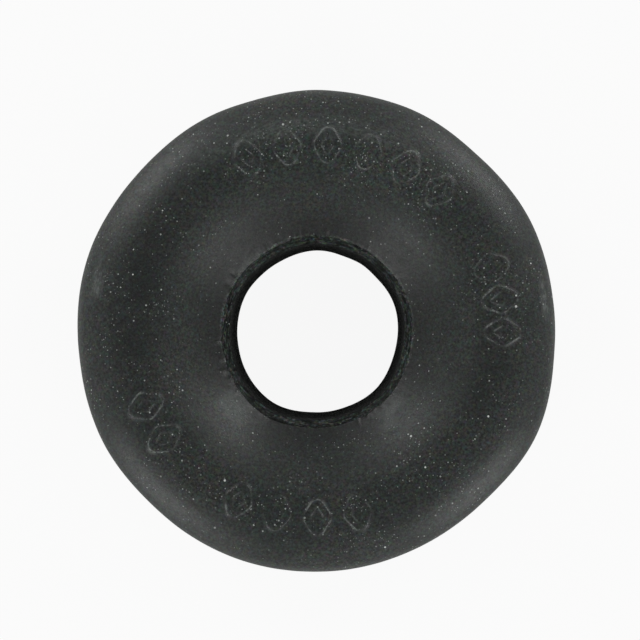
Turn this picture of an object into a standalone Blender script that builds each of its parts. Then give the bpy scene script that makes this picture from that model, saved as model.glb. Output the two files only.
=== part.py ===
"""Rubber toilet inlet connector: one hollow moulded ring that joins a flush pipe to the bowl's inlet spigot.

Run it with: blender --background --python part.py
The frame is in metres with +Z up. The origin is on the bore's axis, in the plane of the rear rim that
the ring lies on. The flush pipe is pushed in from above, and the bowl's spigot comes in from below.
"""

import math

import bmesh
import bpy
from mathutils import Vector

MM = 0.001

# The moulding as it leaves the mould, before it settles out of round
OUTSIDE_DIAMETER = 81 * MM  # over the skirt's belly
HEIGHT = 37.4 * MM  # from the rear rim to the crest of the front face
WALL = 3.2 * MM  # skirt, front face and root of the sleeve

# Front face: a flat-backed shoulder with a tighter outer edge, a crest, and a funnel that leads the pipe in
EDGE_RADIUS = 3.5 * MM
SHOULDER_TURN = math.radians(42)  # slope at which the outer edge runs over into the shoulder
SHOULDER_RADIUS = 13.5 * MM
CREST_ROUNDING = 10 * MM  # radius with which the crest rolls over towards the funnel
BROW_ANGLE = math.radians(22)  # slope at which that rounding eases off, below level
BROW_ROUNDING = 30 * MM
FUNNEL_ANGLE = math.radians(31)  # of the funnel's straight stretch, below level
MOUTH_DIAMETER = 32.4 * MM  # at the foot of the funnel, just over a 32 mm pipe
MOUTH_EDGE_RADIUS = 0.4 * MM
LEAD_IN_DIAMETER = 30 * MM  # at the foot of the steep lead-in below the mouth
LEAD_IN_ANGLE = math.radians(65)  # below level
LEAD_IN_ROUNDING = 1.5 * MM

# Sleeve that grips the pipe, turned in behind the face
SLEEVE_TIP_DIAMETER = 28 * MM
SLEEVE_TIP_HEIGHT = 9 * MM  # above the rear rim
SLEEVE_TIP_WALL = 2.2 * MM
SLEEVE_ROOT_RADIUS = 2 * MM  # fillet between the sleeve and the back of the face

# Rear of the skirt: drawn in below its belly, then turned in to a lip that seals round the spigot
BELLY_BAND = 11.5 * MM  # upright stretch of the skirt below its outer edge; it draws in from there down
BELLY_ROUNDING = 40 * MM
HEEL_DRAW_IN = 2 * MM  # how far in the skirt has come where it would meet the plane of the rear rim
HEEL_RADIUS = 8 * MM
SPIGOT_OPENING_DIAMETER = 50 * MM
LIP_THICKNESS = 2.4 * MM
EDGE_FLAT = 0.3 * MM  # left between the two roundings of the lip's and the sleeve's free edges

# The soft ring isn't quite round: corners stand proud of shallow flats.
# Each corner is its angle from +X in degrees, half its width in degrees, and its height above the flats.
SKIRT_FLATS = -0.27 * MM
SKIRT_CORNERS = [
    (28, 22, 0.38 * MM),
    (67, 21, 0.50 * MM),
    (90, 20, 0.50 * MM),
    (117, 20, 0.32 * MM),
    (163, 26, 0.36 * MM),
    (208, 22, 0.36 * MM),
    (246, 28, 0.36 * MM),
    (272, 32, 0.30 * MM),
    (335, 22, 0.78 * MM),
]
BORE_FLATS = -0.20 * MM
BORE_CORNERS = [
    (20, 34, 0.32 * MM),
    (57, 18, 0.24 * MM),
    (90, 30, 0.36 * MM),
    (152, 20, 0.14 * MM),
    (212, 24, 0.20 * MM),
    (238, 30, 0.50 * MM),
    (316, 28, 0.26 * MM),
]

# Fineness of the solid
SEGMENTS = 72  # round the axis
CHORD_SAG = 0.1 * MM  # the most that a fillet's chord lies inside its true arc
SAME_POINT = 0.001 * MM  # arcs that run into each other share their end point

RUBBER_COLOUR = (0.030, 0.033, 0.031, 1.0)
RUBBER_ROUGHNESS = 0.6


def clear_scene():
    for old in list(bpy.data.objects):
        bpy.data.objects.remove(old)


def crest_radius():
    """The radius of the face's highest line."""
    tighter = EDGE_RADIUS * (1 - math.sin(SHOULDER_TURN))
    return OUTSIDE_DIAMETER / 2 - tighter - SHOULDER_RADIUS * math.sin(SHOULDER_TURN)


def behind(corner, slope, next_slope):
    """The corner one wall behind a corner of the face, between two slopes that fall to the axis."""
    middle = (slope + next_slope) / 2
    reach = WALL / math.cos((slope - next_slope) / 2)
    return (corner[0] + reach * math.sin(middle), corner[1] - reach * math.cos(middle))


def section_corners():
    """The corners of the wall's section, each (radius, height, fillet), once round the closed outline."""
    skirt = OUTSIDE_DIAMETER / 2
    crest = crest_radius()
    heel = skirt - HEEL_DRAW_IN
    mouth = MOUTH_DIAMETER / 2
    lead_in = LEAD_IN_DIAMETER / 2
    tip = SLEEVE_TIP_DIAMETER / 2
    lip = SPIGOT_OPENING_DIAMETER / 2

    # Outwards from the crest the tangents of the shoulder and the outer edge meet in these corners
    upright = math.pi / 2
    shoulder_corner = (crest + SHOULDER_RADIUS * math.tan(SHOULDER_TURN / 2), HEIGHT)
    shoulder_foot = HEIGHT - (skirt - shoulder_corner[0]) * math.tan(SHOULDER_TURN)
    edge_corner = (skirt, shoulder_foot)
    edge_height = shoulder_foot - EDGE_RADIUS * math.tan((upright - SHOULDER_TURN) / 2)
    belly_height = edge_height - BELLY_BAND

    # Inwards those of the crest, the brow and the funnel do
    crest_corner = (crest - CREST_ROUNDING * math.tan(BROW_ANGLE / 2), HEIGHT)
    along = CREST_ROUNDING * math.tan(BROW_ANGLE / 2)
    along += BROW_ROUNDING * math.tan((FUNNEL_ANGLE - BROW_ANGLE) / 2)
    brow_corner = (
        crest_corner[0] - along * math.cos(BROW_ANGLE),
        HEIGHT - along * math.sin(BROW_ANGLE),
    )
    slope = math.tan(FUNNEL_ANGLE)
    mouth_height = brow_corner[1] - (brow_corner[0] - mouth) * slope
    lead_in_height = mouth_height - (mouth - lead_in) * math.tan(LEAD_IN_ANGLE)

    # The back of the face runs one wall behind it
    back_edge = behind(edge_corner, -upright, -SHOULDER_TURN)
    back_shoulder = behind(shoulder_corner, -SHOULDER_TURN, 0)
    back_crest = behind(crest_corner, 0, BROW_ANGLE)
    back_brow = behind(brow_corner, BROW_ANGLE, FUNNEL_ANGLE)
    root = lead_in + WALL
    root_height = back_brow[1] - (back_brow[0] - root) * slope

    # So does the inside of the drawn-in skirt
    draw_in = math.atan2(HEEL_DRAW_IN, belly_height)
    inner_belly_height = belly_height + WALL * math.tan(draw_in / 2)
    inner_heel = heel + WALL * (math.tan(draw_in) - 1 / math.cos(draw_in))

    tip_rounding = (SLEEVE_TIP_WALL - EDGE_FLAT) / 2
    lip_rounding = (LIP_THICKNESS - EDGE_FLAT) / 2

    bore_side = [
        (tip, SLEEVE_TIP_HEIGHT, tip_rounding),
        (lead_in, lead_in_height, LEAD_IN_ROUNDING),
        (mouth, mouth_height, MOUTH_EDGE_RADIUS),
    ]
    outside = [
        (*brow_corner, BROW_ROUNDING),
        (*crest_corner, CREST_ROUNDING),
        (*shoulder_corner, SHOULDER_RADIUS),
        (*edge_corner, EDGE_RADIUS),
        (skirt, belly_height, BELLY_ROUNDING),
        (heel, 0, HEEL_RADIUS),
        (lip, 0, lip_rounding),
    ]
    cavity = [
        (lip, LIP_THICKNESS, lip_rounding),
        (inner_heel, WALL, HEEL_RADIUS - WALL),
        (skirt - WALL, inner_belly_height, BELLY_ROUNDING - WALL),
        (*back_edge, EDGE_RADIUS - WALL),
        (*back_shoulder, SHOULDER_RADIUS - WALL),
        (*back_crest, CREST_ROUNDING - WALL),
        (*back_brow, BROW_ROUNDING - WALL),
        (root, root_height, SLEEVE_ROOT_RADIUS),
        (tip + SLEEVE_TIP_WALL, SLEEVE_TIP_HEIGHT, tip_rounding),
    ]
    return bore_side + outside + cavity


def filleted(corners):
    """The points of the closed outline through these corners, with each fillet drawn as short chords."""
    points = []
    before = corners[-1:] + corners[:-1]
    after = corners[1:] + corners[:1]
    for last, corner, following in zip(before, corners, after):
        at = Vector(corner[:2])
        back = (Vector(last[:2]) - at).normalized()
        ahead = (Vector(following[:2]) - at).normalized()
        opening = back.angle(ahead)
        turn = math.pi - opening
        chord_angle = 2 * math.acos(max(0, 1 - CHORD_SAG / corner[2]))
        chords = math.ceil(turn / chord_angle)
        centre = at + (back + ahead).normalized() * corner[2] / math.sin(opening / 2)
        start = at + back * corner[2] / math.tan(opening / 2) - centre
        side = math.copysign(1, back.x * ahead.y - back.y * ahead.x)
        for step in range(chords + 1):
            angle = -side * turn * step / chords
            across = Vector((-start.y, start.x))
            points.append(centre + start * math.cos(angle) + across * math.sin(angle))
    return points


def proud_of_round(angle, flats, corners):
    """How far the soft rubber stands out from a true circle at this angle in degrees."""
    height = flats
    for middle, half_width, rise in corners:
        off = abs((angle - middle + 180) % 360 - 180)
        if off < half_width:
            height += rise * (1 + math.cos(math.pi * off / half_width)) / 2
    return height


def settle(mesh):
    """Moves the turned mesh out of round, skirt and bore each by its own corners; the crest stays."""
    skirt = OUTSIDE_DIAMETER / 2
    crest = crest_radius()
    bore = SLEEVE_TIP_DIAMETER / 2
    for vertex in mesh.verts:
        radius = vertex.co.xy.length
        angle = math.degrees(math.atan2(vertex.co.y, vertex.co.x))
        if radius > crest:
            share = min(1, (radius - crest) / (skirt - crest))
            moved = share * proud_of_round(angle, SKIRT_FLATS, SKIRT_CORNERS)
        else:
            share = min(1, (crest - radius) / (crest - bore))
            moved = share * proud_of_round(angle, BORE_FLATS, BORE_CORNERS)
        vertex.co.xy *= 1 + moved / radius


def turned_ring():
    """The section turned once about the Z axis, as a closed mesh."""
    mesh = bmesh.new()
    outline = [mesh.verts.new((p.x, 0, p.y)) for p in filleted(section_corners())]
    edges = [
        mesh.edges.new((outline[i - 1], outline[i])) for i in range(len(outline))
    ]
    bmesh.ops.spin(
        mesh,
        geom=outline + edges,
        cent=(0, 0, 0),
        axis=(0, 0, 1),
        angle=2 * math.pi,
        steps=SEGMENTS,
        use_merge=True,
    )
    bmesh.ops.remove_doubles(mesh, verts=mesh.verts, dist=SAME_POINT)
    settle(mesh)
    bmesh.ops.recalc_face_normals(mesh, faces=mesh.faces)
    return mesh


def rubber():
    material = bpy.data.materials.new("black_moulded_rubber")
    material.use_nodes = True
    shader = material.node_tree.nodes["Principled BSDF"]
    shader.inputs["Base Color"].default_value = RUBBER_COLOUR
    shader.inputs["Roughness"].default_value = RUBBER_ROUGHNESS
    shader.inputs["Metallic"].default_value = 0
    return material


def connector_ring():
    """The whole part: face, skirt, sleeve and lip are one piece of rubber."""
    turned = turned_ring()
    data = bpy.data.meshes.new("rubber_connector")
    turned.to_mesh(data)
    turned.free()
    data.materials.append(rubber())
    data.shade_smooth()
    data.set_sharp_from_angle(angle=math.radians(40))
    ring = bpy.data.objects.new("rubber_connector", data)
    bpy.context.scene.collection.objects.link(ring)
    return ring


clear_scene()
connector_ring()
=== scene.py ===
"""The looks of a rubber toilet inlet connector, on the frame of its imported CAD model.

The hollow ring lies on its rear rim. The camera looks down into the face that the flush pipe enters.
Lengths are in metres in the frame's own axes: +Z is up the bore and +Y is up in the picture.
"""

import math

import bpy
from mathutils import Euler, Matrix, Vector


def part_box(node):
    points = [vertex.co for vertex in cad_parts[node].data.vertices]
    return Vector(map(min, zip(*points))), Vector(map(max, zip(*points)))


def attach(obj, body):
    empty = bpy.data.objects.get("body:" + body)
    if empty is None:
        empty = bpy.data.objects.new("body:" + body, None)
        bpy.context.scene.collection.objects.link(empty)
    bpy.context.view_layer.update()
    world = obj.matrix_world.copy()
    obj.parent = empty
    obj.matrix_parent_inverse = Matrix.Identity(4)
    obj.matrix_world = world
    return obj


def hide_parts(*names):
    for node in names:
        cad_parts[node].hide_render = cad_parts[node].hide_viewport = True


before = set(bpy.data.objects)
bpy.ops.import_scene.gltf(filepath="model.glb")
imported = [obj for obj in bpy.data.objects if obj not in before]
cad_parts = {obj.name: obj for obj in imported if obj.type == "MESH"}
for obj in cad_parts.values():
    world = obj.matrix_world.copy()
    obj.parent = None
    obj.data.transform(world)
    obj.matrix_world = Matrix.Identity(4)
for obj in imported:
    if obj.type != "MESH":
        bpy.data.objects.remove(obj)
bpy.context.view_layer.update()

# The moulded ring
# One piece of black vulcanised rubber: a face with a shoulder, a crest and a funnel, a skirt that turns in
# to a lip at the rear, and a sleeve that turns in behind the face to grip the pipe. It is compression
# moulded round a core, comes off it soft, and has settled a little out of round.
MM = 0.001
ring_low, ring_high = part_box("rubber_connector")
HEIGHT = ring_high.z - ring_low.z
SKIRT_RADIUS = 40.5 * MM
WALL = 3.2 * MM
EDGE_RADIUS = 3.5 * MM
SHOULDER_TURN = math.radians(42)  # slope at which the outer edge runs over into the shoulder
SHOULDER_RADIUS = 13.5 * MM
CREST_ROUNDING = 10 * MM
BROW_ANGLE = math.radians(22)  # slope at which the crest's rounding eases off towards the funnel
BROW_ROUNDING = 30 * MM
FUNNEL_ANGLE = math.radians(31)
MOUTH_RADIUS = 16.2 * MM
MOUTH_EDGE_RADIUS = 0.4 * MM
LEAD_IN_RADIUS = 15 * MM
LEAD_IN_ANGLE = math.radians(65)
LEAD_IN_ROUNDING = 1.5 * MM
SLEEVE_TIP_RADIUS = 14 * MM
SLEEVE_TIP_HEIGHT = 9 * MM
SLEEVE_TIP_WALL = 2.2 * MM
SLEEVE_ROOT_RADIUS = 2 * MM
BELLY_BAND = 11.5 * MM  # upright stretch of the skirt, which draws in from there down
BELLY_ROUNDING = 40 * MM
HEEL_DRAW_IN = 2 * MM
HEEL_RADIUS = 8 * MM
SPIGOT_OPENING_RADIUS = 25 * MM
LIP_THICKNESS = 2.4 * MM
EDGE_FLAT = 0.3 * MM  # left between the two roundings of a free edge
UNCUT = 1.0  # a step longer than the whole ring
SAME_POINT = 0.001 * MM

# The highest line of the face, and the corners in which the tangents of its roundings meet
crest = SKIRT_RADIUS - EDGE_RADIUS * (1 - math.sin(SHOULDER_TURN))
crest -= SHOULDER_RADIUS * math.sin(SHOULDER_TURN)
shoulder_corner = (crest + SHOULDER_RADIUS * math.tan(SHOULDER_TURN / 2), HEIGHT)
edge_corner = (SKIRT_RADIUS, HEIGHT - (SKIRT_RADIUS - shoulder_corner[0]) * math.tan(SHOULDER_TURN))
edge_height = edge_corner[1] - EDGE_RADIUS * math.tan((math.pi / 2 - SHOULDER_TURN) / 2)
crest_corner = (crest - CREST_ROUNDING * math.tan(BROW_ANGLE / 2), HEIGHT)
along_brow = CREST_ROUNDING * math.tan(BROW_ANGLE / 2)
along_brow += BROW_ROUNDING * math.tan((FUNNEL_ANGLE - BROW_ANGLE) / 2)
brow_corner = (
    crest_corner[0] - along_brow * math.cos(BROW_ANGLE),
    HEIGHT - along_brow * math.sin(BROW_ANGLE),
)
funnel_slope = math.tan(FUNNEL_ANGLE)
mouth_height = brow_corner[1] - (brow_corner[0] - MOUTH_RADIUS) * funnel_slope
lead_in_height = mouth_height - (MOUTH_RADIUS - LEAD_IN_RADIUS) * math.tan(LEAD_IN_ANGLE)


def behind(corner, slope, next_slope):
    """The corner one wall behind a corner of the face, between two slopes that fall to the axis."""
    middle = (slope + next_slope) / 2
    reach = WALL / math.cos((slope - next_slope) / 2)
    return (corner[0] + reach * math.sin(middle), corner[1] - reach * math.cos(middle))


back_brow = behind(brow_corner, BROW_ANGLE, FUNNEL_ANGLE)
root = LEAD_IN_RADIUS + WALL
root_height = back_brow[1] - (back_brow[0] - root) * funnel_slope
belly_height = edge_height - BELLY_BAND
draw_in = math.atan2(HEEL_DRAW_IN, belly_height)
inner_belly_height = belly_height + WALL * math.tan(draw_in / 2)
inner_heel = SKIRT_RADIUS - HEEL_DRAW_IN + WALL * (math.tan(draw_in) - 1 / math.cos(draw_in))
tip_rounding = (SLEEVE_TIP_WALL - EDGE_FLAT) / 2
lip_rounding = (LIP_THICKNESS - EDGE_FLAT) / 2

# Each corner of the wall's section: radius, height, fillet, steps in the fillet, longest step after it
section = [
    (SLEEVE_TIP_RADIUS, SLEEVE_TIP_HEIGHT, tip_rounding, 4, 3 * MM),
    (LEAD_IN_RADIUS, lead_in_height, LEAD_IN_ROUNDING, 4, 0.3 * MM),
    (MOUTH_RADIUS, mouth_height, MOUTH_EDGE_RADIUS, 3, 0.6 * MM),
    (*brow_corner, BROW_ROUNDING, 10, MM),
    (*crest_corner, CREST_ROUNDING, 12, MM),
    (*shoulder_corner, SHOULDER_RADIUS, 26, MM),
    (*edge_corner, EDGE_RADIUS, 10, 2 * MM),
    (SKIRT_RADIUS, belly_height, BELLY_ROUNDING, 2, 3 * MM),
    (SKIRT_RADIUS - HEEL_DRAW_IN, 0, HEEL_RADIUS, 8, 3 * MM),
    (SPIGOT_OPENING_RADIUS, 0, lip_rounding, 4, MM),
    (SPIGOT_OPENING_RADIUS, LIP_THICKNESS, lip_rounding, 4, 4 * MM),
    (inner_heel, WALL, HEEL_RADIUS - WALL, 6, 4 * MM),
    (SKIRT_RADIUS - WALL, inner_belly_height, BELLY_ROUNDING - WALL, 2, 4 * MM),
    (*behind(edge_corner, -math.pi / 2, -SHOULDER_TURN), EDGE_RADIUS - WALL, 3, 2 * MM),
    (*behind(shoulder_corner, -SHOULDER_TURN, 0), SHOULDER_RADIUS - WALL, 6, 4 * MM),
    (*behind(crest_corner, 0, BROW_ANGLE), CREST_ROUNDING - WALL, 4, 3 * MM),
    (*back_brow, BROW_ROUNDING - WALL, 3, 3 * MM),
    (root, root_height, SLEEVE_ROOT_RADIUS, 4, 4 * MM),
    (SLEEVE_TIP_RADIUS + SLEEVE_TIP_WALL, SLEEVE_TIP_HEIGHT, tip_rounding, 4, UNCUT),
]

radii, heights, fillets, steps, longest_steps = zip(*section)
section_mesh = bpy.data.meshes.new("wall_section")
section_mesh.from_pydata(
    [(radius - crest, -height, 0) for radius, height in zip(radii, heights)],
    [(i, (i + 1) % len(section)) for i in range(len(section))],
    [],
)
for name, kind, values in (
    ("fillet", "FLOAT", fillets),
    ("fillet_steps", "INT", steps),
    ("longest_step", "FLOAT", longest_steps),
):
    section_mesh.attributes.new(name, kind, "POINT").data.foreach_set("value", values)
turning = bpy.data.objects.new("wall_section", section_mesh)
bpy.context.scene.collection.objects.link(turning)


def add(tree, kind, *inputs, **settings):
    """Adds a node with its settings and its inputs, in the order of its sockets or named in a dictionary.

    An input is a value, a socket, a node whose first output is meant, or a list of sockets and nodes.
    """
    node = tree.nodes.new(kind)
    for name, setting in settings.items():
        setattr(node, name, setting)
    wanted = {}
    for number, given_input in enumerate(inputs):
        wanted.update(given_input if isinstance(given_input, dict) else {number: given_input})
    for key, value in wanted.items():
        for source in value if isinstance(value, list) else [value]:
            if isinstance(source, bpy.types.Node):
                source = source.outputs[0]
            if isinstance(source, bpy.types.NodeSocket):
                tree.links.new(source, node.inputs[key])
            else:
                node.inputs[key].default_value = source
    return node


def rgb(code):
    """An sRGB hex colour as linear red, green, blue and a full alpha."""
    shares = [int(code[i:i + 2], 16) / 255 for i in (1, 3, 5)]
    linear = [s / 12.92 if s <= 0.04045 else ((s + 0.055) / 1.055) ** 2.4 for s in shares]
    return (*linear, 1)


# Black vulcanised rubber, compression moulded: matt and nearly neutral, with a thin bloom of wax, a fine
# grained skin, pale grains of chalk filler that wear has laid bare, and dull scuffs from handling.
# The colour also carries painted light: a painted highlight by the mouth, painted shade towards the mouth
# and inside the bore, painted shade in pits, and a painted highlight along the marks' flanks.
rubber = bpy.data.materials.new("black_vulcanised_rubber")
rubber.use_nodes = True
shading = rubber.node_tree
shading.nodes.clear()
SOFT = {"interpolation_type": "SMOOTHSTEP"}
SHARE, UNDER, OVER, MIXED = 0, 6, 7, 2  # a Mix node's sockets for colours: three inputs and its output
place = add(shading, "ShaderNodeTexCoord").outputs["Object"]
mm = add(shading, "ShaderNodeVectorMath", place, {"Scale": 1 / MM}, operation="SCALE")
level = add(shading, "ShaderNodeVectorMath", mm, (1, 1, 0), operation="MULTIPLY")
radius = add(shading, "ShaderNodeVectorMath", level, operation="LENGTH").outputs["Value"]
axes = add(shading, "ShaderNodeSeparateXYZ", mm).outputs
angle = add(shading, "ShaderNodeMath", axes["Y"], axes["X"], operation="ARCTAN2")
degrees = add(shading, "ShaderNodeMath", angle, operation="DEGREES")
unrolled = add(shading, "ShaderNodeCombineXYZ", degrees, radius, axes["Z"])
round_face = add(shading, "ShaderNodeVectorMath", unrolled, (0.22, 1, 1), operation="MULTIPLY")
round_bore = add(shading, "ShaderNodeVectorMath", unrolled, (0.03, 1, 0.2), operation="MULTIPLY")
down_bore = add(shading, "ShaderNodeVectorMath", mm, (1.4, 1.4, 0.3), operation="MULTIPLY")

# What the patterns keep to, in mm: the radii of the crest and the mouth, and the heights of the foot of the
# lead-in and of the sleeve's tip
crest_mm = crest / MM
mouth_mm = MOUTH_RADIUS / MM
foot_mm = lead_in_height / MM
tip_mm = SLEEVE_TIP_HEIGHT / MM

# Each cloudy pattern: the way it is read along, the size of its patches in mm, its octaves and their
# strength, the noise it rises between, and its values there. The skin's grain is really about 0.1 mm, and
# is drawn as coarse as it needs to show.
cloud = {}
for name, way, size, octaves, strength, low, high, bottom, top in (
    ("drift", mm, 12, 3, 0.6, 0.35, 0.65, 0, 1),
    ("mottle", mm, 1.4, 4, 0.7, 0.42, 0.75, 0, 0.4),
    ("grain", mm, 0.42, 3, 0.7, 0.29, 0.71, 0, 2),
    ("skin", mm, 0.6, 4, 0.65, 0, 1, 0, 1),
    ("rubbed_lines", round_bore, 0.3, 4, 0.75, 0.38, 0.62, 0.2, 1.8),
    ("rubbed_blotches", down_bore, 1, 3, 0.7, 0.36, 0.64, 0.5, 1.5),
    ("smear", mm, 1.6, 3, 0.6, 0.3, 0.7, 0.25, 0.8),
    ("streaks", round_face, 0.35, 3, 0.6, 0.48, 0.66, 0, 1),
    ("flecks", mm, 0.9, 4, 0.75, 0.56, 0.66, 0, 1),
    ("lengths_of_dust", mm, 2, 2, 0.6, 0.46, 0.64, 0, 1),
    ("crumbs_of_dust", mm, 0.35, 2, 0.6, 0.35, 0.6, 0, 1),
    ("wide_clumps", mm, 8, 2, 0.6, 0.42, 0.66, 0.1, 0.68),
    ("small_clumps", mm, 2.6, 2, 0.6, 0.35, 0.65, 0.3, 1),
):
    noise_inputs = {"Vector": way, "Scale": 1 / size, "Detail": octaves, "Roughness": strength}
    noise = add(shading, "ShaderNodeTexNoise", noise_inputs)
    cloud[name] = add(shading, "ShaderNodeMapRange", noise, low, high, bottom, top, **SOFT)


def patch(middle, out, half_length, half_width, strength):
    """A soft patch on the face at an angle from +X in degrees and a radius in mm."""
    off = add(shading, "ShaderNodeMath", degrees, middle, operation="SUBTRACT")
    off = add(shading, "ShaderNodeMath", off, 180, -180, operation="WRAP")
    off = add(shading, "ShaderNodeMath", off, operation="ABSOLUTE")
    aside = add(shading, "ShaderNodeMath", radius, out, operation="SUBTRACT")
    aside = add(shading, "ShaderNodeMath", aside, operation="ABSOLUTE")
    across = add(shading, "ShaderNodeMapRange", aside, half_width, 0, 0, strength, **SOFT)
    return add(shading, "ShaderNodeMapRange", off, half_length, half_length * 0.2, 0, across, **SOFT)


# The bloom drifts between a greenish black and a paler, greyer one, with a finer mottle over it. It lies
# thicker in some places and has been wiped thinner in others. By the mouth at 223 degrees the paler patch
# is partly bloom and partly a painted highlight. Each of these is its angle from +X in degrees, its radius
# in mm, half its length in degrees, half its width in mm, and the change as a share.
BLOOM_AND_SHEEN = [
    (80, 29.5, 60, 6, 0.4),
    (165, 31, 50, 7, -0.4),
    (345, 29.5, 25, 5, -0.3),
    # Partly thick bloom, partly a painted highlight by the mouth
    (223, 19.6, 20, 4, 0.9),
    (315, 19.5, 20, 4, 0.6),
    (125, 20, 34, 4, -0.3),
]
bloom_and_sheen = 1
for changed in BLOOM_AND_SHEEN:
    bloom_and_sheen = add(shading, "ShaderNodeMath", patch(*changed), bloom_and_sheen, operation="ADD")
# Towards the mouth the colour is painted darker, down to 0.45 of itself: painted shade in the funnel
mouth_shade_and_tone = add(shading, "ShaderNodeMapRange", radius, mouth_mm + 0.3, mouth_mm + 6.8, 0.45, 1, **SOFT)
mouth_shade_and_tone = add(shading, "ShaderNodeMath", mouth_shade_and_tone, bloom_and_sheen, operation="MULTIPLY")
colour = rgb("#1B221F")
for share, shade in ((cloud["drift"], "#272B28"), (cloud["mottle"], "#323935")):
    mixed = {SHARE: share, UNDER: colour, OVER: rgb(shade)}
    colour = add(shading, "ShaderNodeMix", mixed, data_type="RGBA").outputs[MIXED]
colour = add(shading, "ShaderNodeVectorMath", colour, {"Scale": mouth_shade_and_tone}, operation="SCALE")

# Pipes have polished the steep lead-in below the mouth to a middling grey. The sleeve under it is painted
# dark, partly its rubber wiped clean of bloom and partly painted shade inside the bore, and further down it
# is painted paler again.
steep = add(shading, "ShaderNodeMapRange", axes["Z"], foot_mm - 0.5, foot_mm + 0.3, **SOFT)
lead_in = add(shading, "ShaderNodeMapRange", radius, mouth_mm + 0.4, mouth_mm - 0.1, 0, steep, **SOFT)
below = add(shading, "ShaderNodeMapRange", axes["Z"], foot_mm + 0.3, foot_mm - 0.7, **SOFT)
in_bore = add(shading, "ShaderNodeMapRange", radius, mouth_mm + 0.8, mouth_mm - 0.2, 0, below, **SOFT)
far_down = add(shading, "ShaderNodeMapRange", axes["Z"], tip_mm + 13, tip_mm, 0, in_bore, **SOFT)
# The sleeve's dark colour is partly painted shade
for share, shade in ((lead_in, "#303532"), (in_bore, "#1C1F1D"), (far_down, "#343936")):
    mixed = {SHARE: share, UNDER: colour, OVER: rgb(shade)}
    colour = add(shading, "ShaderNodeMix", mixed, data_type="RGBA").outputs[MIXED]

# Below the mouth it is streaked round the bore. The skin's grain is all over, and the compound's own grains
# tint it a little, brownish here and greenish there.
lines, blotches = cloud["rubbed_lines"], cloud["rubbed_blotches"]
rubbed = add(shading, "ShaderNodeMath", lines, blotches, operation="MULTIPLY")
rubbed = add(shading, "ShaderNodeMapRange", radius, mouth_mm + 0.8, mouth_mm - 0.1, 1, rubbed, **SOFT)
uneven = add(shading, "ShaderNodeMath", cloud["grain"], rubbed, operation="MULTIPLY")
colour = add(shading, "ShaderNodeVectorMath", colour, {"Scale": uneven}, operation="SCALE")
hues = add(shading, "ShaderNodeTexNoise", {"Vector": mm, "Scale": 1 / 0.8, "Detail": 3, "Roughness": 0.6})
hues = add(shading, "ShaderNodeVectorMath", hues.outputs["Color"], {"Scale": 2}, operation="SCALE")
colour = add(shading, "ShaderNodeVectorMath", colour, hues, operation="MULTIPLY")

# Scuffs: a pale smear with streaks round the face in it, each placed as the bloom's patches are. The first,
# by the mouth at 223 degrees, is partly a scuff and partly a painted highlight.
SCUFFS_AND_SHEEN = [
    # Partly a scuff, partly a painted highlight by the mouth
    (223, 18.9, 11, 3.0, 1),
    (8, 38.6, 7, 0.9, 0.6),
    (168, 37.6, 5, 1.4, 0.6),
    (166, 38.3, 8, 0.8, 0.3),
    (314, 18.2, 11, 1.5, 0.5),
    (308, 19.8, 6, 1.0, 0.4),
    (135, 16.4, 14, 0.9, 0.3),
    (92, 34.6, 48, 2.8, 0.3),
]
scuffed_and_sheen = 0
for pale_patch in SCUFFS_AND_SHEEN:
    scuffed_and_sheen = add(shading, "ShaderNodeMath", patch(*pale_patch), scuffed_and_sheen, operation="MAXIMUM")
# The pale smear also paints the highlight by the mouth at 223 degrees
smear_and_sheen = add(shading, "ShaderNodeMath", scuffed_and_sheen, cloud["smear"], operation="MULTIPLY")
scraped = add(shading, "ShaderNodeMath", cloud["streaks"], cloud["flecks"], operation="MAXIMUM")
scraped = add(shading, "ShaderNodeMath", scraped, scuffed_and_sheen, operation="MULTIPLY")

# The raised marks: a pale line lies along their flanks, most of it on the outer side, in lengths that wear
# has broken up. It is partly dust and partly a painted highlight on the flanks. A mark's stroke has a level
# top and a flank on either side.
STROKE = 1.0 * MM
FLANK = 0.4 * MM
dust_and_highlight_line = (STROKE / 2 + 0.3 * FLANK) / MM
from_mark = add(shading, "ShaderNodeAttribute", attribute_name="from_mark").outputs["Fac"]
mark_height = add(shading, "ShaderNodeAttribute", attribute_name="mark_height").outputs["Fac"]
outer_side = add(shading, "ShaderNodeAttribute", attribute_name="mark_outside").outputs["Fac"]
off_line = add(shading, "ShaderNodeMath", from_mark, dust_and_highlight_line, operation="SUBTRACT")
off_line = add(shading, "ShaderNodeMath", off_line, operation="ABSOLUTE")
dust_and_highlight = add(shading, "ShaderNodeMapRange", outer_side, 0, 1, 0.16, 0.65)
for share in (mark_height, cloud["lengths_of_dust"], cloud["crumbs_of_dust"]):
    dust_and_highlight = add(shading, "ShaderNodeMath", dust_and_highlight, share, operation="MULTIPLY")
dust_and_highlight = add(shading, "ShaderNodeMapRange", off_line, 0.24, 0.05, 0, dust_and_highlight, **SOFT)
# The flanks' line is partly dust and partly a painted highlight
for share, shade in ((smear_and_sheen, "#626764"), (scraped, "#6A706E"), (dust_and_highlight, "#7C827F")):
    mixed = {SHARE: share, UNDER: colour, OVER: rgb(shade)}
    colour = add(shading, "ShaderNodeMix", mixed, data_type="RGBA").outputs[MIXED]
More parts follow.
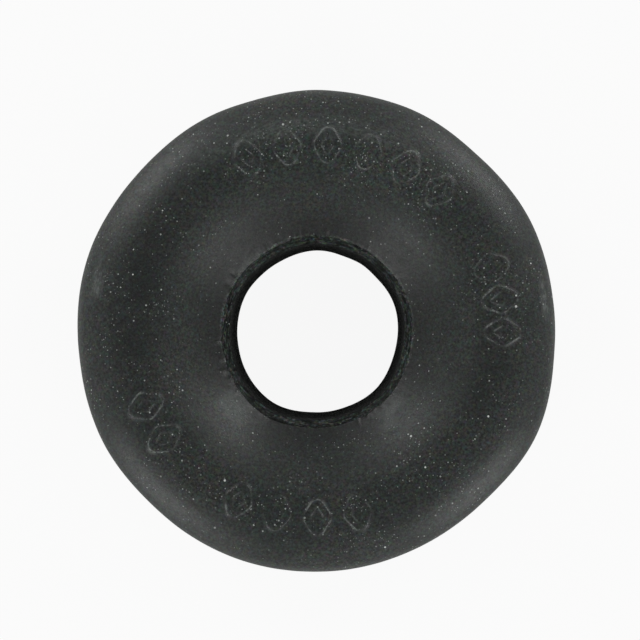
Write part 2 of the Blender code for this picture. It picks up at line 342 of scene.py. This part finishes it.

# Grains of filler, and dark dots of painted shade for the pits that some have left. They lie in clumps, and
# are plentiful on the level crest, in thick bloom and its painted highlight by the mouth, and beside the
# marks. Each kind: cell and largest grain in mm, plenty, and shade.
crowding = add(shading, "ShaderNodeMapRange", radius, crest_mm - 8.3, crest_mm - 2.3, 0.4, 1.1, **SOFT)
fewer_outside = add(shading, "ShaderNodeMapRange", radius, crest_mm + 3.7, crest_mm + 7.2, 1, 0.8, **SOFT)
for share in (fewer_outside, bloom_and_sheen, cloud["wide_clumps"], cloud["small_clumps"]):
    crowding = add(shading, "ShaderNodeMath", crowding, share, operation="MULTIPLY")
by_mark = add(shading, "ShaderNodeMapRange", from_mark, 1.6, 0.4, 0, 0.3, **SOFT)
crowding = add(shading, "ShaderNodeMath", crowding, by_mark, operation="MAXIMUM")
for cell, largest, plenty, shade in (
    (0.5, 0.13, 1.6, "#8C918E"),
    (0.9, 0.17, 1.3, "#B4B9B6"),
    (2.2, 0.24, 1.1, "#D6DAD6"),
    # Dark dots: painted shade of pits
    (0.7, 0.18, 2, "#030404"),
):
    cells = add(shading, "ShaderNodeTexVoronoi", {"Vector": mm, "Scale": 1 / cell})
    lot = add(shading, "ShaderNodeSeparateColor", cells.outputs["Color"]).outputs
    odds = add(shading, "ShaderNodeMath", crowding, plenty, operation="MULTIPLY")
    there = add(shading, "ShaderNodeMath", odds, lot["Red"], operation="GREATER_THAN")
    size = add(shading, "ShaderNodeMapRange", lot["Green"], 0, 1, largest * 0.5 / cell, largest / cell)
    dim = add(shading, "ShaderNodeMapRange", lot["Blue"], 0, 1, 0.25, 1)
    dim = add(shading, "ShaderNodeMath", dim, there, operation="MULTIPLY")
    dot = add(shading, "ShaderNodeMath", cells.outputs["Distance"], size, operation="DIVIDE")
    dot = add(shading, "ShaderNodeMapRange", dot, 1.2, 0.6, 0, dim, **SOFT)
    mixed = {SHARE: dot, UNDER: colour, OVER: rgb(shade)}
    colour = add(shading, "ShaderNodeMix", mixed, data_type="RGBA").outputs[MIXED]

# The skin's relief, each pattern with its height in mm, and the gloss that it takes away
crisp_edge = add(shading, "ShaderNodeMapRange", from_mark, 0.75, 0.45, 0, mark_height, **SOFT)
bore_relief = add(shading, "ShaderNodeMath", in_bore, cloud["rubbed_blotches"], operation="MULTIPLY")
skin = 0
for pattern, depth in (
    (cloud["skin"], 0.008),
    (cloud["grain"], 0.0042),
    (crisp_edge, 0.06),
    (scraped, 0.03),
    (bore_relief, 0.14),
):
    skin = add(shading, "ShaderNodeMath", pattern, depth, skin, operation="MULTIPLY_ADD")
relief = add(shading, "ShaderNodeBump", {"Strength": 1, "Distance": MM, "Height": skin})
matt = 0.45
for pattern, rougher in ((cloud["mottle"], 0.25), (scraped, 0.25), (in_bore, 0.4)):
    matt = add(shading, "ShaderNodeMath", pattern, rougher, matt, operation="MULTIPLY_ADD")
rubber_inputs = {"Base Color": colour, "Roughness": matt, "IOR": 1.5, "Normal": relief}
surface = add(shading, "ShaderNodeBsdfPrincipled", rubber_inputs)
add(shading, "ShaderNodeOutputMaterial", surface)

# The turning: named sizes in, the finished ring out
tree = bpy.data.node_groups.new("turned_rubber_ring", "GeometryNodeTree")
tree.interface.new_socket("Ring", in_out="OUTPUT", socket_type="NodeSocketGeometry")
tree.interface.new_socket("Section", in_out="INPUT", socket_type="NodeSocketGeometry")
given_sizes = {
    "Steps round": ("NodeSocketInt", 560),
    "Crest radius": ("NodeSocketFloat", crest),
    "Skirt radius": ("NodeSocketFloat", SKIRT_RADIUS),
    "Bore radius": ("NodeSocketFloat", SLEEVE_TIP_RADIUS),
    "Mouth radius": ("NodeSocketFloat", MOUTH_RADIUS),
    "Mouth height": ("NodeSocketFloat", mouth_height),
    "Mouth offset": ("NodeSocketVector", (0, -0.25 * MM, 0)),
    "Tear depth": ("NodeSocketFloat", -0.3 * MM),
    "Unevenness": ("NodeSocketFloat", 0.12 * MM),
    "Mark circle": ("NodeSocketFloat", 31.2 * MM),
    "Mark width": ("NodeSocketFloat", 3.7 * MM),
    "Mark half length": ("NodeSocketFloat", 3.0 * MM),
    "Mark corner": ("NodeSocketFloat", 0.7 * MM),
    "Stroke": ("NodeSocketFloat", STROKE),
    "Stroke flank": ("NodeSocketFloat", FLANK),
    "Mark relief": ("NodeSocketFloat", 0.3 * MM),
}
size_sockets = {
    name: tree.interface.new_socket(name, in_out="INPUT", socket_type=kind)
    for name, (kind, size) in given_sizes.items()
}
given = add(tree, "NodeGroupInput").outputs

# The section's corners are filleted, cut into short steps and turned once round the axis
fillet = add(tree, "GeometryNodeInputNamedAttribute", "fillet", data_type="FLOAT")
fillet_steps = add(tree, "GeometryNodeInputNamedAttribute", "fillet_steps", data_type="INT")
longest_step = add(tree, "GeometryNodeInputNamedAttribute", "longest_step", data_type="FLOAT")
corners = add(tree, "GeometryNodeMeshToCurve", {"Mesh": given["Section"]})
fillet_inputs = {"Curve": corners, "Count": fillet_steps, "Radius": fillet}
filleted = add(tree, "GeometryNodeFilletCurve", fillet_inputs, mode="POLY")
here = add(tree, "GeometryNodeInputPosition")
following = add(tree, "ShaderNodeMath", add(tree, "GeometryNodeInputIndex"), 1, operation="ADD")
next_point = {"Value": here, "Index": following}
next_point = add(tree, "GeometryNodeFieldAtIndex", next_point, data_type="FLOAT_VECTOR")
length = add(tree, "ShaderNodeVectorMath", here, next_point, operation="DISTANCE").outputs["Value"]
cuts = add(tree, "ShaderNodeMath", length, longest_step, operation="DIVIDE")
wall = add(tree, "GeometryNodeSubdivideCurve", {"Curve": filleted, "Cuts": cuts})
circle_inputs = {"Resolution": given["Steps round"], "Radius": given["Crest radius"]}
circle = add(tree, "GeometryNodeCurvePrimitiveCircle", circle_inputs)
upright = add(tree, "GeometryNodeSetCurveNormal", {"Curve": circle}, mode="Z_UP")
turned = add(tree, "GeometryNodeCurveToMesh", {"Curve": upright, "Profile Curve": wall})
ring = add(tree, "GeometryNodeMergeByDistance", {"Geometry": turned, "Distance": SAME_POINT})

# It settles out of round: the skirt by its own corners, the bore by others, the crest by neither.
# Each corner is its angle from +X in degrees, half its width in degrees, and its height above the flats.
SKIRT_FLATS = -0.27 * MM
SKIRT_CORNERS = [
    (28, 22, 0.38 * MM),
    (67, 21, 0.50 * MM),
    (90, 20, 0.50 * MM),
    (117, 20, 0.32 * MM),
    (163, 26, 0.36 * MM),
    (208, 22, 0.36 * MM),
    (246, 28, 0.36 * MM),
    (272, 32, 0.30 * MM),
    (335, 22, 0.78 * MM),
]
BORE_FLATS = -0.20 * MM
BORE_CORNERS = [
    (20, 34, 0.32 * MM),
    (57, 18, 0.24 * MM),
    (90, 30, 0.36 * MM),
    (152, 20, 0.14 * MM),
    (212, 24, 0.20 * MM),
    (238, 30, 0.50 * MM),
    (316, 28, 0.26 * MM),
]
flat_here = add(tree, "ShaderNodeVectorMath", here, (1, 1, 0), operation="MULTIPLY")
outward = add(tree, "ShaderNodeVectorMath", flat_here, operation="NORMALIZE")
off_axis = add(tree, "ShaderNodeVectorMath", flat_here, operation="LENGTH").outputs["Value"]
parts = add(tree, "ShaderNodeSeparateXYZ", here).outputs
bearing = add(tree, "ShaderNodeMath", parts["Y"], parts["X"], operation="ARCTAN2")
bearing = add(tree, "ShaderNodeMath", bearing, operation="DEGREES")
for edge, flats, proud_corners in (
    ("Skirt radius", SKIRT_FLATS, SKIRT_CORNERS),
    ("Bore radius", BORE_FLATS, BORE_CORNERS),
):
    proud = flats
    for middle, half_width, rise in proud_corners:
        off = add(tree, "ShaderNodeMath", bearing, middle, operation="SUBTRACT")
        off = add(tree, "ShaderNodeMath", off, 180, -180, operation="WRAP")
        off = add(tree, "ShaderNodeMath", off, operation="ABSOLUTE")
        off = add(tree, "ShaderNodeMapRange", off, 0, half_width, rise, 0, **SOFT)
        proud = add(tree, "ShaderNodeMath", off, proud, operation="ADD")
    moved = add(tree, "ShaderNodeMapRange", off_axis, given["Crest radius"], given[edge], 0, proud)
    move = add(tree, "ShaderNodeVectorMath", outward, {"Scale": moved}, operation="SCALE")
    ring = add(tree, "GeometryNodeSetPosition", {"Geometry": ring, "Offset": move})

# The mouth has come to rest a little off the bore's axis, and neither the crest nor the sleeve's tip has
upward = add(tree, "ShaderNodeMapRange", parts["Z"], SLEEVE_TIP_HEIGHT, given["Mouth height"], **SOFT)
way_in = (given["Crest radius"], given["Mouth radius"])
moved = add(tree, "ShaderNodeMapRange", off_axis, *way_in, 0, upward, **SOFT)
move = add(tree, "ShaderNodeVectorMath", given["Mouth offset"], {"Scale": moved}, operation="SCALE")
ring = add(tree, "GeometryNodeSetPosition", {"Geometry": ring, "Offset": move})

# Pipes have torn the edge of the mouth a little, more in some places than in others
skin_way = add(tree, "GeometryNodeInputNormal")
off_edge = add(tree, "ShaderNodeMath", parts["Z"], given["Mouth height"], operation="SUBTRACT")
off_edge = add(tree, "ShaderNodeMath", off_edge, operation="ABSOLUTE")
tears = add(tree, "ShaderNodeTexNoise", {"Vector": here, "Scale": 1 / (1.2 * MM), "Detail": 3})
tears = add(tree, "ShaderNodeMapRange", tears, 0.45, 0.7, 0, given["Tear depth"], **SOFT)
in_places = add(tree, "ShaderNodeTexNoise", {"Vector": here, "Scale": 1 / (10 * MM), "Detail": 1})
in_places = add(tree, "ShaderNodeMapRange", in_places, 0.45, 0.6, 0.2, 1, **SOFT)
tears = add(tree, "ShaderNodeMath", tears, in_places, operation="MULTIPLY")
tears = add(tree, "ShaderNodeMapRange", off_edge, 1.2 * MM, 0.2 * MM, 0, tears, **SOFT)
torn_zone = (MOUTH_RADIUS + 1.8 * MM, MOUTH_RADIUS + 0.8 * MM)
tears = add(tree, "ShaderNodeMapRange", off_axis, *torn_zone, 0, tears, **SOFT)
move = add(tree, "ShaderNodeVectorMath", skin_way, {"Scale": tears}, operation="SCALE")
ring = add(tree, "GeometryNodeSetPosition", {"Geometry": ring, "Offset": move})

# Soft rubber cools with a slightly uneven skin
swell = add(tree, "ShaderNodeTexNoise", {"Vector": here, "Scale": 1 / (9 * MM), "Detail": 2})
swell = add(tree, "ShaderNodeMath", swell, 0.5, operation="SUBTRACT")
swell = add(tree, "ShaderNodeMath", swell, given["Unevenness"], operation="MULTIPLY")
swell = add(tree, "ShaderNodeMapRange", parts["Z"], 0, 2 * MM, 0, swell, **SOFT)
move = add(tree, "ShaderNodeVectorMath", skin_way, {"Scale": swell}, operation="SCALE")
ring = add(tree, "GeometryNodeSetPosition", {"Geometry": ring, "Offset": move})

# Raised marks along the crest: plain hollow lozenges, worn soft. Each row is where it starts and ends in
# degrees round the face, and how many marks it has.
MARK_ROWS = [(42.5, 118, 6), (-5.5, 25, 3), (198, 221, 2), (239, 289, 4)]
lozenge_inputs = {
    "Width": given["Mark width"],
    "Bottom Height": given["Mark half length"],
    "Top Height": given["Mark half length"],
}
lozenge = add(tree, "GeometryNodeCurvePrimitiveQuadrilateral", lozenge_inputs, mode="KITE")
lozenge_inputs = {"Curve": lozenge, "Count": 4, "Radius": given["Mark corner"]}
lozenge = add(tree, "GeometryNodeFilletCurve", lozenge_inputs, mode="POLY")
rows = []
for start, end, count in MARK_ROWS:
    half_pitch = (end - start) / count / 2
    row_inputs = {
        "Resolution": count,
        "Radius": given["Mark circle"],
        "Start Angle": math.radians(start + half_pitch),
        "Sweep Angle": math.radians(end - start - 2 * half_pitch),
    }
    rows.append(add(tree, "GeometryNodeCurveArc", row_inputs, mode="RADIUS"))
centres = add(tree, "GeometryNodeJoinGeometry", {"Geometry": rows})
facing = add(tree, "FunctionNodeAlignRotationToVector", {"Vector": here}, axis="Y", pivot_axis="Z")
marks = {"Points": centres, "Instance": lozenge, "Rotation": facing}
marks = add(tree, "GeometryNodeInstanceOnPoints", marks)
marks = add(tree, "GeometryNodeRealizeInstances", marks)
lines = add(tree, "GeometryNodeCurveToMesh", {"Curve": marks})
nearest = {"Geometry": lines, "Sample Position": flat_here}
nearest = add(tree, "GeometryNodeProximity", nearest, target_element="EDGES").outputs
half_stroke = add(tree, "ShaderNodeMath", given["Stroke"], 2, operation="DIVIDE")
foot = add(tree, "ShaderNodeMath", half_stroke, given["Stroke flank"], operation="ADD")

# Wear has taken some of them down further than others, and they stand on the face alone
up = add(tree, "ShaderNodeSeparateXYZ", skin_way).outputs["Z"]
on_face = add(tree, "ShaderNodeMapRange", up, 0.2, 0.5, **SOFT)
kept = add(tree, "ShaderNodeTexNoise", {"Vector": here, "Scale": 1 / (7 * MM), "Detail": 2})
kept = add(tree, "ShaderNodeMapRange", kept, 0.35, 0.6, 0.35, 1, **SOFT)
kept = add(tree, "ShaderNodeMath", kept, on_face, operation="MULTIPLY")
proud = add(tree, "ShaderNodeMapRange", nearest["Distance"], foot, half_stroke, 0, kept, **SOFT)
raised = add(tree, "ShaderNodeMath", proud, given["Mark relief"], operation="MULTIPLY")

# The flanks' pale line, partly dust and partly a painted highlight, needs each place's distance from a
# mark's line in mm, and whether it is outside that line
from_line = add(tree, "ShaderNodeMath", nearest["Distance"], 1 / MM, operation="MULTIPLY")
spread = []
for spot in (flat_here, nearest["Position"]):
    out = add(tree, "ShaderNodeVectorMath", spot, operation="LENGTH").outputs["Value"]
    out = add(tree, "ShaderNodeMath", out, given["Mark circle"], operation="SUBTRACT")
    spread.append(add(tree, "ShaderNodeMath", out, operation="ABSOLUTE"))
outside = add(tree, "ShaderNodeMath", *spread, operation="SUBTRACT")
outside = add(tree, "ShaderNodeMapRange", outside, -0.2 * MM, 0.2 * MM, **SOFT)
for name, field in (("from_mark", from_line), ("mark_height", kept), ("mark_outside", outside)):
    stored = {"Geometry": ring, "Name": name, "Value": field}
    ring = add(tree, "GeometryNodeStoreNamedAttribute", stored, data_type="FLOAT", domain="POINT")
move = add(tree, "ShaderNodeVectorMath", skin_way, {"Scale": raised}, operation="SCALE")
ring = add(tree, "GeometryNodeSetPosition", {"Geometry": ring, "Offset": move})
ring = add(tree, "GeometryNodeSetShadeSmooth", ring)
ring = add(tree, "GeometryNodeRealizeInstances", ring)
ring = add(tree, "GeometryNodeSetMaterial", {"Geometry": ring, "Material": rubber})
add(tree, "NodeGroupOutput", ring)

modifier = turning.modifiers.new("turned_rubber_ring", "NODES")
modifier.node_group = tree
for name, (kind, size) in given_sizes.items():
    modifier[size_sockets[name].identifier] = size
depsgraph = bpy.context.evaluated_depsgraph_get()
ring_mesh = bpy.data.meshes.new_from_object(
    turning.evaluated_get(depsgraph), preserve_all_data_layers=True, depsgraph=depsgraph
)
ring_mesh.name = "moulded_ring"
moulded_ring = bpy.data.objects.new("moulded_ring", ring_mesh)
bpy.context.scene.collection.objects.link(moulded_ring)
bpy.data.objects.remove(turning)
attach(moulded_ring, "root")
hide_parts("rubber_connector")

# The floor
# A table covered in white paper, which the ring lies on. The camera sees the paper lit up to a clear white,
# and so does whatever mirrors it from well outside the ring.
HALF_TABLE = 2
table_corners = [(x * HALF_TABLE, y * HALF_TABLE, 0) for x, y in ((-1, -1), (1, -1), (1, 1), (-1, 1))]
floor_mesh = bpy.data.meshes.new("studio_table")
floor_mesh.from_pydata(table_corners, [], [(0, 1, 2, 3)])
studio_table = bpy.data.objects.new("studio_table", floor_mesh)
bpy.context.scene.collection.objects.link(studio_table)
paper = bpy.data.materials.new("matt_white_paper")
paper.use_nodes = True
shading = paper.node_tree
shading.nodes.clear()
ray = add(shading, "ShaderNodeLightPath").outputs
spot = add(shading, "ShaderNodeTexCoord").outputs["Object"]
from_ring = add(shading, "ShaderNodeVectorMath", spot, operation="LENGTH").outputs["Value"]
clear = add(shading, "ShaderNodeMapRange", from_ring, SKIRT_RADIUS, 4 * SKIRT_RADIUS, **SOFT)
mirrored = add(shading, "ShaderNodeMath", ray["Is Glossy Ray"], clear, operation="MULTIPLY")
seen = add(shading, "ShaderNodeMath", ray["Is Camera Ray"], mirrored, operation="MAXIMUM")
seen = add(shading, "ShaderNodeMath", seen, ray["Is Transmission Ray"], operation="MAXIMUM")
glow_share = add(shading, "ShaderNodeMath", seen, 0.92, operation="MULTIPLY")
matt_paper = add(shading, "ShaderNodeBsdfDiffuse", rgb("#F1F1EF"))
glow = add(shading, "ShaderNodeEmission", (1, 1, 1, 1), 1)
mixed = add(shading, "ShaderNodeMixShader", glow_share, matt_paper, glow)
add(shading, "ShaderNodeOutputMaterial", mixed)
floor_mesh.materials.append(paper)

# The light
# Four large soft lamps stand round the table on its diagonals, in a room that is paler at the walls than
# above. A lamp's level is the brightness that it alone gives to white paper in the middle of the table.
LAMP_LEVEL = 0.08
LAMP_SIZE = 0.4
LAMP_DISTANCE = 1.2
LAMP_ELEVATION = math.radians(20)
for number, azimuth in enumerate((45, 135, 225, 315)):
    lamp = bpy.data.lights.new(f"soft_lamp_{number}", "AREA")
    lamp.shape = "DISK"
    lamp.size = LAMP_SIZE
    lamp.energy = LAMP_LEVEL * math.pi ** 2 * LAMP_DISTANCE ** 2 / math.sin(LAMP_ELEVATION)
    soft_lamp = bpy.data.objects.new(f"soft_lamp_{number}", lamp)
    turn = math.radians(azimuth)
    level_way = LAMP_DISTANCE * math.cos(LAMP_ELEVATION)
    soft_lamp.location = (
        level_way * math.cos(turn),
        level_way * math.sin(turn),
        LAMP_DISTANCE * math.sin(LAMP_ELEVATION),
    )
    soft_lamp.rotation_euler = soft_lamp.location.to_track_quat("Z", "Y").to_euler()
    bpy.context.scene.collection.objects.link(soft_lamp)

room = bpy.data.worlds.new("studio_room")
room.use_nodes = True
bpy.context.scene.world = room
shading = room.node_tree
shading.nodes.clear()
way = add(shading, "ShaderNodeTexCoord").outputs["Generated"]
height = add(shading, "ShaderNodeSeparateXYZ", way).outputs["Z"]
strength = add(shading, "ShaderNodeMapRange", height, 0, 1, 0.6, 0.3)
air = add(shading, "ShaderNodeBackground", (1, 1, 1, 1), strength)
add(shading, "ShaderNodeOutputWorld", air)

# The camera
# It hangs over the face, less than a degree off the bore's axis, with a long lens.
CAMERA_LENS = 248
CAMERA_DISTANCE = 744 * MM
CAMERA_TILT = Euler((math.radians(0.67), math.radians(0.2), 0))
CAMERA_AIM = Vector((0.57, 1.9, 31)) * MM
camera_data = bpy.data.cameras.new("camera")
camera_data.sensor_width = 36
camera_data.lens = CAMERA_LENS
camera_data.clip_start = 0.01
camera = bpy.data.objects.new("camera", camera_data)
bpy.context.scene.collection.objects.link(camera)
camera.rotation_euler = CAMERA_TILT
camera.location = CAMERA_AIM + CAMERA_TILT.to_matrix() @ Vector((0, 0, CAMERA_DISTANCE))
bpy.context.scene.camera = camera
bpy.context.scene.view_settings.view_transform = "Standard"
